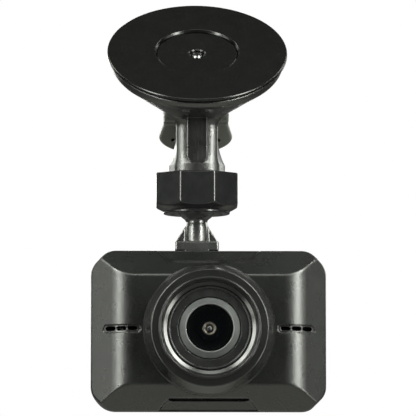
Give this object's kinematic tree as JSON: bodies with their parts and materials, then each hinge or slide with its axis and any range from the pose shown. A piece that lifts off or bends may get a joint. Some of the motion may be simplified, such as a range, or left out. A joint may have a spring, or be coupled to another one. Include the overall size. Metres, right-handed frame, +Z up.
{
  "type": "dash camera",
  "caption": "Dash camera with a bevelled body and ringed lens, hung by a ball joint and octagonal lock nut from a tilted suction mount with a cam lever.",
  "frame": {"origin": "centre of the suction face that goes on the windscreen", "axes": "+Z up, the lens looks along -Y, +X to the right as seen from the lens side; the suction face's normal leans 39 degrees from +Z towards -Y"},
  "size_m": [0.078, 0.0492, 0.1387],
  "materials": {
    "pad_rubber": "satin moulded rubber",
    "housing_plastic": "fine spark-eroded texture",
    "post_plastic": "plain moulded",
    "lever_plastic": "satin moulded",
    "nut_plastic": "fine texture",
    "seat_plastic": "plain moulded",
    "friction_rubber": "matte",
    "stem_plastic": "satin moulded",
    "shell_plastic": "fine spark-eroded texture",
    "bezel_plastic": "satin, turned rings",
    "trim_plastic": "satin",
    "retainer_metal": "dark satin anodised",
    "lens_glass": "coated, polished",
    "inner_glass": "coated, polished",
    "filter_glass": "coated",
    "barrel_metal": "black anodised",
    "holder_plastic": "moulded",
    "sensor_chip": "package with dark window",
    "board": "solder mask",
    "chip_epoxy": "moulded epoxy",
    "switch_metal": "plated",
    "display_metal": "panel frame",
    "flex_film": "polyimide film",
    "window_plastic": "clear over black print",
    "cell_film": "black wrap",
    "speaker_metal": "black pressed basket",
    "mic_metal": "plated can",
    "port_metal": "plated shell",
    "light_plastic": "clear light guide",
    "screw_steel": "plated steel",
    "spring_steel": "spring wire",
    "button_plastic": "satin keycap"
  },
  "bodies": {
    "mount": {"suction_pad": "pad_rubber", "mount_housing": "housing_plastic"},
    "pull_post": {"pull_post": "post_plastic", "pad_screw": "screw_steel", "lever_pin": "screw_steel", "release_spring": "spring_steel"},
    "lever": {"lock_lever": "lever_plastic"},
    "nut": {"lock_nut": "nut_plastic"},
    "ball_seat": {"ball_seat": "seat_plastic"},
    "friction_pad": {"friction_pad": "friction_rubber"},
    "stem": {"ball_stem": "stem_plastic"},
    "camera": {"front_shell": "shell_plastic", "rear_shell": "shell_plastic", "lens_bezel": "bezel_plastic", "lens_trim": "trim_plastic", "lens_retainer": "retainer_metal", "front_lens": "lens_glass", "middle_lens": "inner_glass", "rear_lens": "inner_glass", "lens_barrel": "barrel_metal", "lens_holder": "holder_plastic", "ir_filter": "filter_glass", "image_sensor": "sensor_chip", "main_board": "board", "processor": "chip_epoxy", "board_chips": "chip_epoxy", "tact_switches": "switch_metal", "display_panel": "display_metal", "display_ribbon": "flex_film", "display_window": "window_plastic", "battery": "cell_film", "speaker": "speaker_metal", "microphone": "mic_metal", "usb_socket": "port_metal", "card_socket": "port_metal", "status_light": "light_plastic", "board_screws": "screw_steel", "case_screws": "screw_steel"},
    "power_button": {"power_button": "button_plastic"},
    "menu_button": {"menu_button": "button_plastic"},
    "up_button": {"up_button": "button_plastic"},
    "down_button": {"down_button": "button_plastic"},
    "select_button": {"select_button": "button_plastic"}
  },
  "joints": [
    {"name": "lever_turn", "type": "hinge", "parent": "pull_post", "child": "lever", "pos_m": [0, 0.0146, -0.01803], "axis": [1, 0, 0], "range_deg": [0, 85]},
    {"name": "pad_pull", "type": "slide", "parent": "mount", "child": "pull_post", "axis": [0, 0.6293, -0.7771], "range_m": [0, 0.0015], "deforming": ["release_spring", "suction_pad"]},
    {"name": "nut_turn", "type": "hinge", "parent": "mount", "child": "nut", "pos_m": [0, 0.008, -0.046], "axis": [0, 0, 1], "range_deg": [0, 180]},
    {"name": "camera_pan", "type": "hinge", "parent": "mount", "child": "ball_seat", "pos_m": [0, 0.008, -0.0492], "axis": [0, 0, 1], "continuous": true},
    {"name": "camera_roll", "type": "hinge", "parent": "ball_seat", "child": "friction_pad", "pos_m": [0, 0.008, -0.0492], "axis": [0, 1, 0], "range_deg": [-20, 20]},
    {"name": "camera_tilt", "type": "hinge", "parent": "friction_pad", "child": "stem", "pos_m": [0, 0.008, -0.0492], "axis": [1, 0, 0], "range_deg": [-25, 25]},
    {"name": "camera_slide", "type": "slide", "parent": "stem", "child": "camera", "axis": [0, -1, 0], "range_m": [0, 0.013]},
    {"name": "power_button_press", "type": "slide", "parent": "camera", "child": "power_button", "axis": [0, -1, 0], "range_m": [0, 0.0005], "stiffness_N_per_m": 900, "springref_m": -0.0006},
    {"name": "menu_button_press", "type": "slide", "parent": "camera", "child": "menu_button", "axis": [0, -1, 0], "range_m": [0, 0.0005], "stiffness_N_per_m": 900, "springref_m": -0.0006},
    {"name": "up_button_press", "type": "slide", "parent": "camera", "child": "up_button", "axis": [0, -1, 0], "range_m": [0, 0.0005], "stiffness_N_per_m": 900, "springref_m": -0.0006},
    {"name": "down_button_press", "type": "slide", "parent": "camera", "child": "down_button", "axis": [0, -1, 0], "range_m": [0, 0.0005], "stiffness_N_per_m": 900, "springref_m": -0.0006},
    {"name": "select_button_press", "type": "slide", "parent": "camera", "child": "select_button", "axis": [0, -1, 0], "range_m": [0, 0.0005], "stiffness_N_per_m": 900, "springref_m": -0.0006}
  ],
  "couplings": [
    {"joint": "lever_turn", "follows": "pad_pull", "rad_per_m": 989.02}
  ]
}
